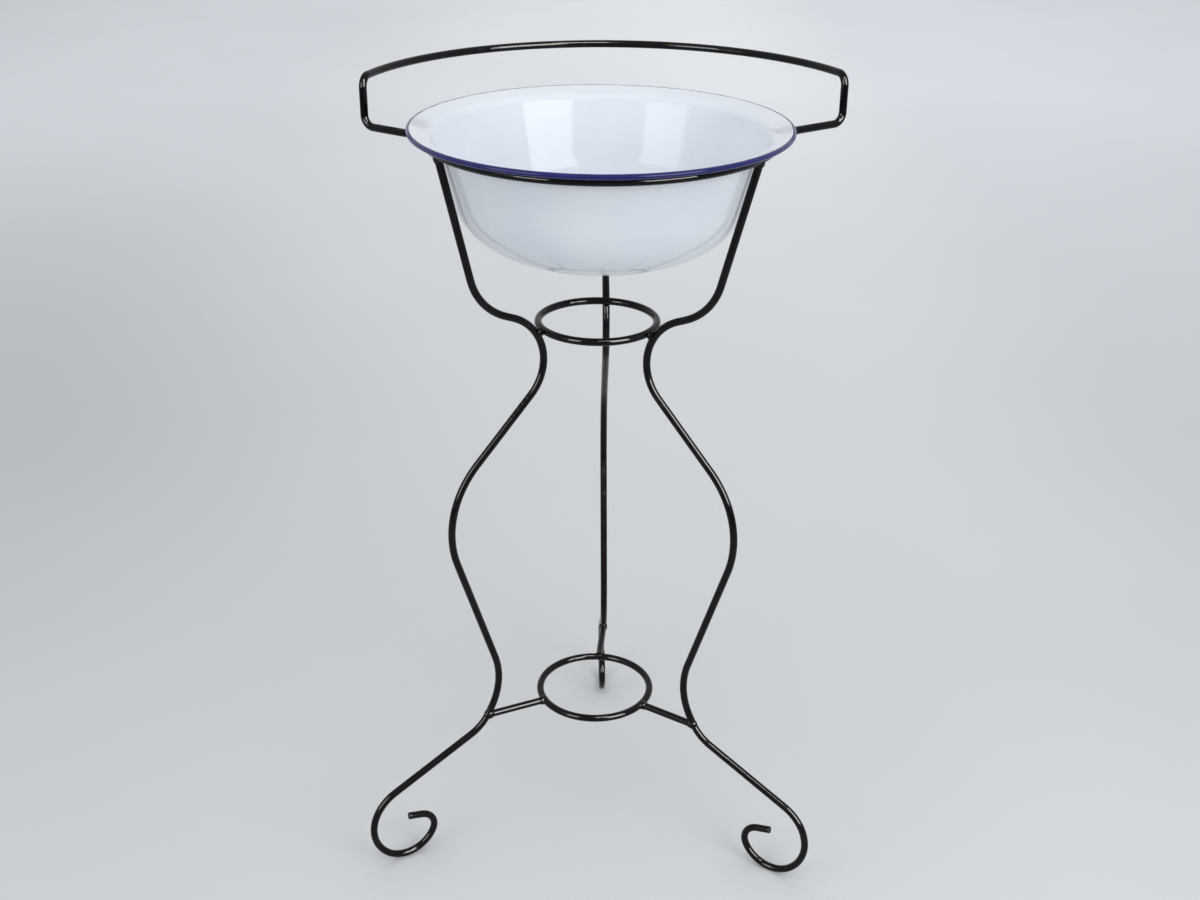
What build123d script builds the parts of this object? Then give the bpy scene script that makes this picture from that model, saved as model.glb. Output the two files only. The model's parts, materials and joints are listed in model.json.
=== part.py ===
from build123d import *

import os
from math import asin, atan2, cos, degrees, hypot, radians, sin, sqrt

# Iron wash basin stand with its enamelled basin.
#
# The stand is bent from one size of round iron bar and welded up: three scrolled legs stand round
# a top ring, a waist ring and a lower ring, straight spokes tie the lower ring to the legs, and a
# towel rail arches round the back of the top ring. The basin is one steel pressing with a flared
# flange and a curled edge. It hangs in the top ring by its flare and lifts straight out.
#
# Frame: origin on the floor under the middle of the top ring, +Z up, +Y towards the back, where
# the rear leg stands. Lengths are in millimetres and angles in degrees. Azimuths count from +X towards +Y.

# Bar and welds
BAR = 8.0                   # diameter of the round bar
ROOT_GAP = 0.3              # gap between two bars, which the weld metal fills
WELD_RADIUS = 5.2           # a weld bead is a ball of this radius with the bars cut out of it
WELD_TILT = (45.0, 25.0, 10.0)  # turns the ball's poles and seam clear of the bars
SEAM_GAP = 0.8              # gap between the two ends of the waist ring's bar
SEAM_BULGE = 0.5            # how far the seam's weld stands proud of the bar
ROOM = BAR + 2 * ROOT_GAP   # a bar's end is cut to fit round another bar with this diameter

# Rings: centre-line radius and height of the centre line
TOP_RING_RADIUS = 175.0
TOP_RING_HEIGHT = 806.5
WAIST_RING_RADIUS = 61.8
WAIST_DROP = 194.5          # the waist ring lies this far below the top ring, clear of the basin
WAIST_RING_HEIGHT = TOP_RING_HEIGHT - WAIST_DROP
WAIST_SEAM_AZIMUTH = 31.0
LOWER_RING_RADIUS = 63.5
LOWER_RING_HEIGHT = 158.0
LOWER_SIDEWAYS = -2.0       # the waist and lower rings share an axis this far beside the top ring's

# Legs. Each is bent in a plane that stands nearly upright and points outwards. They were set up
# by eye: each has its own azimuth, passes this far clockwise of the lower rings' axis at the
# waist ring, and leans this far round.
REAR_BESIDE = 10.3
LEFT_BESIDE = 5.3
RIGHT_BESIDE = 2.3
LEG_PLACES = {
    "rear": (90.7, REAR_BESIDE, 0.3),
    "left": (210.0, LEFT_BESIDE, 0.75),
    "right": (328.5, RIGHT_BESIDE, 0.5),
}

# Pegs that a leg is bent round. A peg's place is its distance out in the leg's plane and its
# height, and the bar's centre line runs round it.
ELBOW_INSET = 94.7          # the elbow's peg lies this far inside the top ring's bar
ELBOW_DROP = 113.6          # and this far below it
ELBOW_RUN = 10.6            # straight run from the elbow to the neck
NECK_BEND = 54.7
NECK_DIP = 31.0             # the neck's peg lies this far below level, seen from the waist ring
NECK_RUN = 92.4             # straight run from the neck to the bulge
BULGE_OUT = 58.5
BULGE_LIFT = 12.5           # above half way between the waist ring and the lower ring
ANKLE_OUT = 204.3
ANKLE_HEIGHT = 206.8
ANKLE_BEND = 85.3
INSTEP_OUT = 177.8
INSTEP_HEIGHT = 184.3
INSTEP_BEND = 51.1

# Scroll at the foot: three arcs, each tighter than the last, then a short straight end
TOE_OUT = 238.6
SHOULDER_BEND = 48.5
TOE_BEND = 35.2
TIP_BEND = 18.7
TOE_START = -45.7           # direction from the toe's peg to where the shoulder hands over
TOE_TURN = 110.2
TIP_TURN = 101.5
TIP_STRAIGHT = 16.0

# Towel rail. It is welded to the two sides of the top ring, turned a few degrees and a little to
# one side, as hand work leaves it.
RAIL_RISE = 48.4            # height of the rail above the top ring
RAIL_RADIUS = 253.7
RAIL_FORWARD = 32.2         # the rail's arc is centred this far in front of the axis
RAIL_SIDEWAYS = 7.7
RAIL_ARC_START = 20.2       # the arc starts this far round from each side
RAIL_BEND = 11.0
RAIL_WELD_DROP = 1.2        # its weld is run from below, clear of the basin's flange
RAIL_TURN = 3.3

# Basin
SHEET = 1.2                 # steel with its enamel
BASIN_DEPTH = 128.0
WALL_SPREAD = 105.4         # the flat underside ends this far inside the top ring's bar
WALL_BEND = 85.5            # outside radius from the base up into the wall
FLARE_BEND = 10.0           # underside radius from the wall out into the flange
FLANGE_SLOPE = 20.0
RIM_OVERHANG = 13.6         # the curled edge's centre lies this far outside the top ring's
RIM_BEND = 2.6              # outside radius of the curled edge
RIM_CURL = 250.0            # how far the edge is rolled under, from the flange on
SEAT_CLEARANCE = 0.3
SEAT_ANGLE = 112.0          # the ring touches the flare in this direction from the flare's peg

LEFT, RIGHT = 1.0, -1.0     # which way a bar turns round a peg


def heading_between(start, start_bend, end, end_bend):
    """Heading of the straight run that leaves one peg and meets the next.

    A bend is the signed radius at that peg: positive where the bar turns left.
    """
    across, up = end[0] - start[0], end[1] - start[1]
    return degrees(atan2(up, across) - asin((end_bend - start_bend) / hypot(across, up)))


def beside_peg(peg, bend, heading):
    """Point where a bar with this heading touches the peg."""
    return (peg[0] + bend * sin(radians(heading)), peg[1] - bend * cos(radians(heading)))


def polar(centre, radius, angle):
    """Point at a radius and an angle from a centre."""
    return (centre[0] + radius * cos(radians(angle)), centre[1] + radius * sin(radians(angle)))


def bend_beside(peg, neighbour, neighbour_bend, run):
    """Radius at a peg that leaves a straight run to its neighbour on the bar's other side."""
    across, up = neighbour[0] - peg[0], neighbour[1] - peg[1]
    return sqrt(across**2 + up**2 - run**2) - neighbour_bend


def arc_from(point, heading, bend, turn):
    """Arc of a signed bend that starts at a point with a heading and turns by an angle."""
    return JernArc(point, (cos(radians(heading)), sin(radians(heading))), abs(bend), turn)


def bent_line(start, pegs, first_heading=None):
    """Straight runs and arcs from a start round each peg, as edges, with the last heading.

    pegs is a list of (place, bend). The last peg is only met: what turns round it comes next.
    """
    edges = []
    place, bend = start, 0.0
    heading = first_heading
    for next_place, next_bend in pegs:
        next_heading = heading_between(place, bend, next_place, next_bend)
        if bend:
            turn = (next_heading - heading + 180) % 360 - 180
            edges.append(arc_from(beside_peg(place, bend, heading), heading, bend, turn))
        run_start = beside_peg(place, bend, next_heading)
        edges.append(Line(run_start, beside_peg(next_place, next_bend, next_heading)))
        place, bend, heading = next_place, next_bend, next_heading
    return edges, heading


def bar_along(edges, diameter):
    """Round bar swept along tangent edges."""
    path = Wire([edge.edge() if hasattr(edge, "edge") else edge for edge in edges])
    section = Plane(path @ 0, z_dir=path % 0) * Circle(diameter / 2)
    return sweep(section, path=path)


def ring(radius, height, diameter):
    """Closed hoop of round bar."""
    return Pos(0, 0, height) * Torus(radius, diameter / 2)


def bead(centre, *bars):
    """Weld bead at a place, with the bars cut out of it."""
    ball = Pos(*centre) * Rot(*WELD_TILT) * Sphere(WELD_RADIUS)
    for bar in bars:
        ball -= bar
    return ball


# Places and bends that the pieces share
LOWER = Pos(LOWER_SIDEWAYS, 0, 0)
TOP_SEAT = (TOP_RING_RADIUS, TOP_RING_HEIGHT)
WAIST_SEAT = (WAIST_RING_RADIUS, WAIST_RING_HEIGHT)
BULGE_HEIGHT = (WAIST_RING_HEIGHT + LOWER_RING_HEIGHT) / 2 + BULGE_LIFT
ELBOW = (TOP_RING_RADIUS - ELBOW_INSET, TOP_RING_HEIGHT - ELBOW_DROP)
NECK = polar(WAIST_SEAT, NECK_BEND + BAR + ROOT_GAP, -NECK_DIP)
BULGE = (BULGE_OUT, BULGE_HEIGHT)
ELBOW_BEND = bend_beside(ELBOW, NECK, NECK_BEND, ELBOW_RUN)
BULGE_BEND = bend_beside(BULGE, NECK, NECK_BEND, NECK_RUN)
ANKLE = (ANKLE_OUT, ANKLE_HEIGHT)
INSTEP = (INSTEP_OUT, INSTEP_HEIGHT)
TOE = (TOE_OUT, TOE_BEND + BAR / 2)
SHOULDER = polar(TOE, TOE_BEND - SHOULDER_BEND, TOE_START)
ANKLE_AT_SPOKE = ANKLE_OUT - sqrt(ANKLE_BEND**2 - (ANKLE_HEIGHT - LOWER_RING_HEIGHT) ** 2)
BASE_RADIUS = TOP_RING_RADIUS - WALL_SPREAD


def waist_seat(beside):
    """Where a leg's plane that passes beside the axis cuts the waist ring's bar."""
    return (sqrt(WAIST_RING_RADIUS**2 - beside**2), WAIST_RING_HEIGHT)


def top_seat(azimuth):
    """Where a leg's plane meets the top ring's bar, measured from the lower rings' axis."""
    return (TOP_RING_RADIUS - LOWER_SIDEWAYS * cos(radians(azimuth)), TOP_RING_HEIGHT)


def leg_edges(azimuth, beside):
    """Centre line of a leg in its plane, from the top ring's bar down to the scroll's tip."""
    neck = polar(waist_seat(beside), NECK_BEND + BAR + ROOT_GAP, -NECK_DIP)
    pegs = [(ELBOW, RIGHT * ELBOW_BEND), (neck, LEFT * NECK_BEND), (BULGE, RIGHT * BULGE_BEND),
            (ANKLE, LEFT * ANKLE_BEND), (INSTEP, LEFT * INSTEP_BEND),
            (SHOULDER, RIGHT * SHOULDER_BEND)]
    edges, heading = bent_line(top_seat(azimuth), pegs)
    point = beside_peg(SHOULDER, RIGHT * SHOULDER_BEND, heading)
    shoulder_turn = TOE_START - 90 - heading
    for bend, turn in ((SHOULDER_BEND, shoulder_turn), (TOE_BEND, -TOE_TURN), (TIP_BEND, -TIP_TURN)):
        edges.append(arc_from(point, heading, bend, turn))
        point = ((edges[-1] @ 1).X, (edges[-1] @ 1).Y)
        heading += turn
    edges.append(Line(point, polar(point, TIP_STRAIGHT, heading)))
    return edges


def leg_frame(azimuth, beside, lean):
    """Location that puts a leg made in the XZ plane in its place."""
    waist = Pos(0, 0, WAIST_RING_HEIGHT)
    upright = LOWER * Rot(0, 0, azimuth) * Pos(0, -beside, 0)
    return upright * waist * Rot(-lean, 0, 0) * waist.inverse()


def spoke_rod(reach):
    """Straight bar along +X from the lower ring, coped to it, out to a distance from the axis."""
    length = reach - LOWER_RING_RADIUS
    rod = Rot(0, 90, 0) * Cylinder(BAR / 2, length)
    rod = Pos(LOWER_RING_RADIUS + length / 2, 0, LOWER_RING_HEIGHT) * rod
    return rod - ring(LOWER_RING_RADIUS, LOWER_RING_HEIGHT, ROOM)


def leg_set(azimuth, beside, lean):
    """A leg, its spoke and their welds, by the names of the pieces."""
    frame = leg_frame(azimuth, beside, lean)
    top_ring = ring(TOP_RING_RADIUS, TOP_RING_HEIGHT, BAR)
    waist_ring = LOWER * ring(WAIST_RING_RADIUS, WAIST_RING_HEIGHT, BAR)
    path = leg_edges(azimuth, beside)
    leg = frame * (Plane.XZ * bar_along(path, BAR)) - ring(TOP_RING_RADIUS, TOP_RING_HEIGHT, ROOM)

    spoke_end = (LOWER.inverse() * frame * Pos(ANKLE_AT_SPOKE, 0, LOWER_RING_HEIGHT)).position
    reach = hypot(spoke_end.X, spoke_end.Y)
    along = LOWER * Rot(0, 0, degrees(atan2(spoke_end.Y, spoke_end.X)))
    rod = spoke_rod(reach)
    spoke = along * rod - frame * (Plane.XZ * bar_along(path, ROOM))

    seat = top_seat(azimuth)
    top_weld = polar(seat, BAR / 2, heading_between(seat, 0.0, ELBOW, RIGHT * ELBOW_BEND))
    waist_weld = polar(waist_seat(beside), (BAR + ROOT_GAP) / 2, -NECK_DIP)
    places = {
        "top_weld": frame * Pos(top_weld[0], 0, top_weld[1]),
        "waist_weld": frame * Pos(waist_weld[0], 0, waist_weld[1]),
        "foot_weld": along * Pos(reach - BAR / 2, 0, LOWER_RING_HEIGHT),
    }
    bars = {"top_weld": (top_ring, leg), "waist_weld": (waist_ring, leg), "foot_weld": (leg, spoke)}
    pieces = {name: bead(place.position, *bars[name]) for name, place in places.items()}
    lower_ring = ring(LOWER_RING_RADIUS, LOWER_RING_HEIGHT, BAR)
    ring_weld_place = (LOWER_RING_RADIUS + BAR / 2, 0, LOWER_RING_HEIGHT)
    pieces["ring_weld"] = along * bead(ring_weld_place, lower_ring, rod)
    pieces.update({"leg": leg, "spoke": spoke})
    return pieces


def rail_corners(side):
    """Places where the towel rail's straight runs would meet: on the ring, at the foot and at the post's top.

    side is -1 on the left and 1 on the right. The arch starts at the last of the four places.
    """
    rail_height = TOP_RING_HEIGHT + RAIL_RISE
    away = Vector(side * cos(radians(RAIL_ARC_START)), sin(radians(RAIL_ARC_START)))
    arc_end = Vector(RAIL_SIDEWAYS, -RAIL_FORWARD, rail_height) + away * RAIL_RADIUS
    post = arc_end + Vector(side * away.Y, -side * away.X) * RAIL_BEND
    foot = Vector(post.X, post.Y, TOP_RING_HEIGHT)
    return Vector(side * TOP_RING_RADIUS, 0, TOP_RING_HEIGHT), foot, post, arc_end


def rail_edges():
    """Centre line of the towel rail from one side of the top ring to the other, in three dimensions."""
    halves = {}
    for side in (-1, 1):
        ring_side, foot, post, arc_end = rail_corners(side)
        outward = (foot - ring_side).normalized()
        rise = Vector(0, 0, RAIL_BEND)
        foot_start = foot - outward * RAIL_BEND
        halves[side] = [Edge.make_line(ring_side, foot_start),
                        Edge.make_tangent_arc(foot_start, outward, foot + rise),
                        Edge.make_line(foot + rise, post - rise),
                        Edge.make_tangent_arc(post - rise, rise, arc_end)]
    back = Vector(RAIL_SIDEWAYS, RAIL_RADIUS - RAIL_FORWARD, TOP_RING_HEIGHT + RAIL_RISE)
    arch = Edge.make_three_point_arc(halves[-1][-1] @ 1, back, halves[1][-1] @ 1)
    return halves[-1] + [arch] + [edge.reversed() for edge in reversed(halves[1])]


def towel_rail():
    """The towel rail, coped to the top ring, in its own frame before it is turned."""
    return bar_along(rail_edges(), BAR) - ring(TOP_RING_RADIUS, TOP_RING_HEIGHT, ROOM)


def rail_weld(side):
    """Weld of one end of the towel rail to the outside of the top ring, in the rail's frame."""
    ring_side, foot = rail_corners(side)[:2]
    end = Plane(ring_side, z_dir=foot - ring_side) * Pos(0, 0, BAR) * Cylinder(BAR / 2, 2 * BAR)
    end -= ring(TOP_RING_RADIUS, TOP_RING_HEIGHT, ROOM)
    place = (side * (TOP_RING_RADIUS + BAR / 2), 0, TOP_RING_HEIGHT - RAIL_WELD_DROP)
    return bead(place, ring(TOP_RING_RADIUS, TOP_RING_HEIGHT, BAR), end)


def basin_profile(inset):
    """Edges of the basin's section from the axis to the end of the curl.

    inset moves the line from the underside into the sheet.
    """
    flare = polar(TOP_SEAT, FLARE_BEND - BAR / 2 - SEAT_CLEARANCE, SEAT_ANGLE + 180)
    rim_out = TOP_RING_RADIUS + RIM_OVERHANG
    slope = radians(FLANGE_SLOPE)
    drop = FLARE_BEND + SHEET - RIM_BEND
    rim = (rim_out, flare[1] + (drop + (rim_out - flare[0]) * sin(slope)) / cos(slope))
    base_height = rim[1] + RIM_BEND - BASIN_DEPTH
    corner = (BASE_RADIUS, base_height + WALL_BEND)
    pegs = [(corner, LEFT * (WALL_BEND - inset)), (flare, RIGHT * (FLARE_BEND + inset)),
            (rim, RIGHT * (RIM_BEND - SHEET + inset))]
    edges, heading = bent_line((0, base_height + inset), pegs, 0.0)
    curl_start = beside_peg(rim, RIGHT * (RIM_BEND - SHEET + inset), heading)
    edges.append(arc_from(curl_start, heading, RIM_BEND - SHEET + inset, -RIM_CURL))
    return edges


def basin():
    """Pressed basin, turned from its section."""
    under = basin_profile(0.0)
    over = basin_profile(SHEET)
    closing = [Line(under[-1] @ 1, over[-1] @ 1), Line(under[0] @ 0, over[0] @ 0)]
    section = make_face(under + over + closing)
    return revolve(Plane.XZ * section, Axis.Z)


def main():
    """Makes every piece and writes each to its own file."""
    waist_hoop = ring(WAIST_RING_RADIUS, WAIST_RING_HEIGHT, BAR)
    seam = Rot(0, 0, WAIST_SEAM_AZIMUTH) * Pos(WAIST_RING_RADIUS, 0, WAIST_RING_HEIGHT)
    waist_ring = waist_hoop - seam * Box(2 * BAR, SEAM_GAP, 2 * BAR)
    seam_weld = seam * Sphere(BAR / 2 + SEAM_BULGE) - waist_ring
    turn = Rot(0, 0, RAIL_TURN)
    pieces = {
        "basin": basin(),
        "top_ring": ring(TOP_RING_RADIUS, TOP_RING_HEIGHT, BAR),
        "waist_ring": LOWER * waist_ring,
        "waist_ring_seam_weld": LOWER * seam_weld,
        "lower_ring": LOWER * ring(LOWER_RING_RADIUS, LOWER_RING_HEIGHT, BAR),
        "towel_rail": turn * towel_rail(),
        "rail_weld_left": turn * rail_weld(-1),
        "rail_weld_right": turn * rail_weld(1),
    }
    for side, place in LEG_PLACES.items():
        for name, piece in leg_set(*place).items():
            pieces[name + "_" + side] = piece

    os.makedirs("parts", exist_ok=True)
    for name, piece in pieces.items():
        export_step(piece, "parts/" + name + ".step")


if __name__ == "__main__":
    main()
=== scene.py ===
"""Iron wash basin stand with its enamelled basin, dressed for rendering.

The stand is welded up from one size of round bar, and the basin hangs in its top ring. Sizes in the
classes are millimetres and degrees, as they would stand on a workshop drawing, and meshes are
written in metres. Azimuths count from +X towards +Y. Each surface is worked out with numpy on a
grid of two parameters, and its docstring gives the formula in words.
"""

import json
import logging
from dataclasses import dataclass, field
from enum import Enum

import bpy
import numpy as np
from mathutils import Matrix, Vector

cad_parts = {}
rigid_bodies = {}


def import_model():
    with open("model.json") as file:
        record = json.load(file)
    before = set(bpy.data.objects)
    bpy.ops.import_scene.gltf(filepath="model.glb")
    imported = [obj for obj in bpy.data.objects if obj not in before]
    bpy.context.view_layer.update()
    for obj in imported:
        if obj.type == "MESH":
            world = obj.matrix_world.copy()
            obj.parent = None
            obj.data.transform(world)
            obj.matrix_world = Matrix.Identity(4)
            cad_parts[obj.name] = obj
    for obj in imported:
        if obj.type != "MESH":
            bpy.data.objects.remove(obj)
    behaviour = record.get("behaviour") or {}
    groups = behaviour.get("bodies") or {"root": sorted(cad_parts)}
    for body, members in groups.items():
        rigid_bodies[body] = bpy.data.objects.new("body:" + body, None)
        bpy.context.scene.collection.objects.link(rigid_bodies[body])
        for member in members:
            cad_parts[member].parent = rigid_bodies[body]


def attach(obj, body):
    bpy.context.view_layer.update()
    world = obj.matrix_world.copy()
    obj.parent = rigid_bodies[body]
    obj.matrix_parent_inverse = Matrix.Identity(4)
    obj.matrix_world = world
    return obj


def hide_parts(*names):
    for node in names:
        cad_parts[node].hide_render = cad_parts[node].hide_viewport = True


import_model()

LOG = logging.getLogger("wash_basin_stand")
MM = 0.001  # metres

# Short names of types
Two = tuple[float, float]
Three = tuple[float, float, float]
Socket = bpy.types.NodeSocket

# Sizes that several pieces share
BAR = 8.0
TOP_RING_RADIUS = 175.0
TOP_RING_HEIGHT = 806.5
WAIST_RING_RADIUS = 61.8
WAIST_RING_HEIGHT = 612.0
LOWER_RING_RADIUS = 63.5
LOWER_RING_HEIGHT = 158.0
LOWER_SIDEWAYS = -2.0
SINK = 0.5  # how far the end of one bar is let into the side of the next
SPREAD = (0.6, 1.5)  # range of the numbers of waves in the mean wavelength, for random waves


class Body(Enum):
    """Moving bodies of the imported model."""

    STAND = "stand"
    BASIN = "basin"


class Slot(Enum):
    """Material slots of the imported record."""

    PAINT = "black_paint"
    ENAMEL = "enamel_white"


class Turn(Enum):
    """Way that a bar turns round a peg, as the sign of its bend."""

    LEFT = 1.0
    RIGHT = -1.0


# --- lines in a plane


def heading_between(
    start: np.ndarray | Two, start_bend: float, end: np.ndarray | Two, end_bend: float
) -> float:
    """Heading in radians of the straight run that leaves one peg and meets the next."""
    # The way between the pegs, less the angle whose sine is the bends' difference over its length
    across, up = np.subtract(end, start)
    return float(np.arctan2(up, across) - np.arcsin((end_bend - start_bend) / np.hypot(across, up)))


def ahead(heading: float) -> np.ndarray:
    """Step of length one along a heading in radians."""
    return np.array([np.cos(heading), np.sin(heading)])


def beside_peg(peg: np.ndarray, bend: float, heading: float | np.ndarray) -> np.ndarray:
    """Where a bar with each heading touches the peg: the peg plus the bend to the right."""
    return np.add(peg, bend * np.stack([np.sin(heading), -np.cos(heading)], axis=-1))


def polar(centre: np.ndarray, radius: float, angle: float) -> np.ndarray:
    """Point at a radius and an angle in degrees from a centre."""
    return np.add(centre, radius * ahead(np.radians(angle)))


def heading_of(run: np.ndarray) -> float:
    """Heading of a straight run of points in radians."""
    across, up = run[-1] - run[0]
    return float(np.arctan2(up, across))


def straight(start: np.ndarray, end: np.ndarray, step: float) -> np.ndarray:
    """Points on the line from start to end, evenly spaced.

    Args:
        start: First point.
        end: Last point.
        step: Largest distance between points.

    Returns:
        The points.
    """
    count = max(2, int(np.ceil(np.linalg.norm(np.subtract(end, start)) / step)) + 1)
    share = np.linspace(0.0, 1.0, count)[:, None]
    return (1.0 - share) * np.asarray(start, float) + share * np.asarray(end, float)


def round_peg(peg: np.ndarray, bend: float, heading: float, turn: float, step: float) -> np.ndarray:
    """Points on the arc round a peg, from a heading through a turn, both in radians."""
    count = max(3, int(np.ceil(abs(bend * turn) / step)) + 1)
    return beside_peg(peg, bend, heading + np.linspace(0.0, turn, count))


def joined(pieces: list[np.ndarray]) -> np.ndarray:
    """Runs of points as one line, with each shared end kept once."""
    kept = [pieces[0]] + [piece[1:] for piece in pieces[1:]]
    return np.concatenate(kept)


def bent_line(
    start: np.ndarray, pegs: list[tuple[np.ndarray | Two, float]], step: float
) -> tuple[list[np.ndarray], float]:
    """Straight runs and arcs from a start round each peg; the last peg is only met.

    Args:
        start: First point.
        pegs: Place and signed bend of each peg, in order.
        step: Largest distance between points.

    Returns:
        The runs of points, and the last heading in radians.
    """
    runs = []
    place, bend, heading = np.asarray(start, float), 0.0, 0.0
    for next_place, next_bend in pegs:
        onward = heading_between(place, bend, next_place, next_bend)
        if bend:
            turn = (onward - heading + np.pi) % (2.0 * np.pi) - np.pi
            runs.append(round_peg(place, bend, heading, turn, step))
        leave = beside_peg(place, bend, onward)
        runs.append(straight(leave, beside_peg(next_place, next_bend, onward), step))
        place, bend, heading = np.asarray(next_place, float), next_bend, onward
    return runs, heading


def quarter_turn(
    corner: np.ndarray, into: np.ndarray, out: np.ndarray, bend: float, step: float
) -> np.ndarray:
    """Points on a quarter circle that rounds a square corner in space.

    The point at an angle is the arc's centre plus the bend times (into sin - out cos).

    Args:
        corner: The corner.
        into: Direction of length one that leads to it.
        out: Direction of length one that leads on.
        bend: Radius.
        step: Largest distance between points.

    Returns:
        The points.
    """
    angle = np.linspace(0.0, np.pi / 2.0, int(np.ceil(bend * np.pi / 2.0 / step)) + 1)[:, None]
    centre = corner - bend * into + bend * out
    return centre + bend * (into * np.sin(angle) - out * np.cos(angle))


# --- surfaces and meshes


def unit(vectors: np.ndarray) -> np.ndarray:
    """Vectors brought to length one."""
    return vectors / np.linalg.norm(vectors, axis=-1, keepdims=True)


def waves(points: np.ndarray, length: float, seed: int, count: int = 7) -> np.ndarray:
    """Soft lumps in space: the mean of a few sine waves in random directions, between -1 and 1.

    Args:
        points: Places, with three numbers each.
        length: Mean wavelength, in the points' unit.
        seed: Seed of the directions and phases.
        count: Number of waves.

    Returns:
        One number for each place.
    """
    draw = np.random.default_rng(seed)
    ways = unit(draw.normal(size=(count, 3))) * (2.0 * np.pi / length)
    ways *= draw.uniform(*SPREAD, size=(count, 1))
    phases = draw.uniform(0.0, 2.0 * np.pi, size=count)
    return np.sin(points @ ways.T + phases).mean(axis=-1)


def layered(points: np.ndarray, layers: tuple[Two, ...], seed: int) -> np.ndarray:
    """Sum of layers of waves, each with its own share and wavelength, and the next seed."""
    return sum(share * waves(points, length, seed + n) for n, (share, length) in enumerate(layers))


@dataclass(frozen=True)
class Grid:
    """Surface sampled on rows, and on columns of which the last joins the first.

    Attributes:
        points: Places in millimetres, rows by columns by three.
        marks: Second texture coordinate of each row, with one more where the rows wrap.
        poles: Points that close the first and the last row, or none where the rows wrap.
    """

    points: np.ndarray
    marks: np.ndarray
    poles: tuple[np.ndarray, ...] = ()

    def mesh(self, name: str) -> bpy.types.Mesh:
        """Quads between neighbouring rows and columns, and a fan of triangles at each pole.

        Args:
            name: Name of the new mesh.

        Returns:
            The mesh, in metres and smooth shaded.
        """
        rows, columns = self.points.shape[:2]
        around = np.linspace(0.0, 1.0, columns + 1)
        down, along = np.indices((rows - 1 if self.poles else rows, columns))
        at_row = np.stack([down, down, down + 1, down + 1], axis=-1).reshape(-1, 4)
        at_column = np.stack([along, along + 1, along + 1, along], axis=-1).reshape(-1, 4)
        faces = [(at_row % rows) * columns + at_column % columns]
        marks = [np.stack([around[at_column], self.marks[at_row]], axis=-1)]
        along = along[0]
        for number, row in enumerate((0, rows - 1) if self.poles else ()):
            here, there = (along, along + 1) if number else (along + 1, along)
            tip = np.full(columns, rows * columns + number)
            sides = [row * columns + side % columns for side in (here, there)]
            faces.append(np.stack([tip, *sides], axis=-1))
            mark = np.stack([around[side] for side in (here, here, there)], axis=-1)
            marks.append(np.stack([mark, np.full((columns, 3), self.marks[row])], axis=-1))
        places = np.concatenate([self.points.reshape(-1, 3), *(pole[None] for pole in self.poles)])
        made = bpy.data.meshes.new(name)
        made.from_pydata((places * MM).tolist(), [], sum((block.tolist() for block in faces), []))
        layer = made.uv_layers.new(name="surface")
        every = np.concatenate([block.reshape(-1) for block in marks])
        layer.data.foreach_set("uv", every.astype(np.float32))
        made.shade_smooth()
        made.update()
        return made


def carried_frames(line: np.ndarray, closed: bool) -> tuple[np.ndarray, np.ndarray, np.ndarray]:
    """Tangents and two cross directions along a line, turned no more than the line turns.

    The first cross direction is square to the first tangent. At each later point it is the one
    before, less its part along the new tangent, at length one.

    Args:
        line: Points of the line.
        closed: Whether the line is a flat hoop that joins its own start.

    Returns:
        Tangents, first and second cross directions.
    """
    if closed:
        tangents = unit(np.roll(line, -1, axis=0) - np.roll(line, 1, axis=0))
        first = unit(line - line.mean(axis=0))
        return tangents, first, np.cross(tangents, first)
    tangents = unit(np.gradient(line, axis=0))
    away = np.eye(3)[np.argmin(np.abs(tangents[0]))]
    first = np.empty_like(line)
    previous = np.cross(tangents[0], away)
    for index, tangent in enumerate(tangents):
        previous = unit(previous - tangent * (previous @ tangent))
        first[index] = previous
    return tangents, first, np.cross(tangents, first)


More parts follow.
